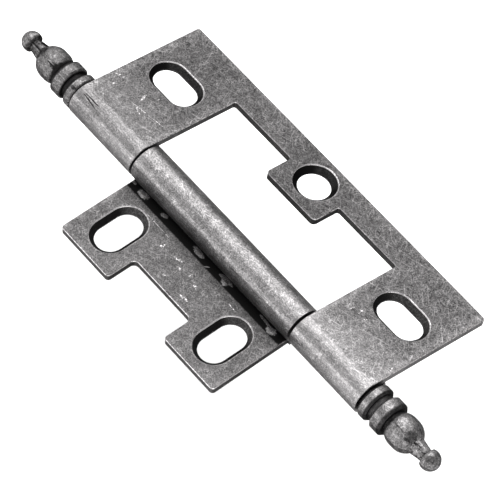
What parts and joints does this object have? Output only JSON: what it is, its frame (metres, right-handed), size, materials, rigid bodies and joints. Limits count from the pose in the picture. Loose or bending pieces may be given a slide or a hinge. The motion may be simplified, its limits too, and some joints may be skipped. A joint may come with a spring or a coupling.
{
  "type": "self mortise cabinet hinge",
  "caption": "Self mortise cabinet hinge: a small leaf nests in the window of a large leaf, both turn on one pin with turned finial tips.",
  "frame": {"origin": "middle of the outer leaf's two screw slots, on the back face that lies against the wood", "axes": "+X along the pin, +Y across the outer leaf away from the pin, +Z out of the outer leaf's countersunk face"},
  "size_m": [0.1097, 0.0434, 0.0101],
  "materials": {
    "leaf_steel": "tumbled and burnished antique pewter plating",
    "pin_steel": "drawn rod, plated with the hinge",
    "finial_casting": "die-cast, tumbled and plated with the hinge"
  },
  "bodies": {
    "outer": {"outer_leaf": "leaf_steel", "hinge_pin": "pin_steel", "upper_finial": "finial_casting", "lower_finial": "finial_casting"},
    "inner": {"inner_leaf": "leaf_steel"}
  },
  "joints": [
    {"name": "leaf_swing", "type": "hinge", "parent": "outer", "child": "inner", "pos_m": [0, -0.0133, -0.0021], "axis": [1, 0, 0], "range_deg": [-189.9, 80.1]}
  ]
}
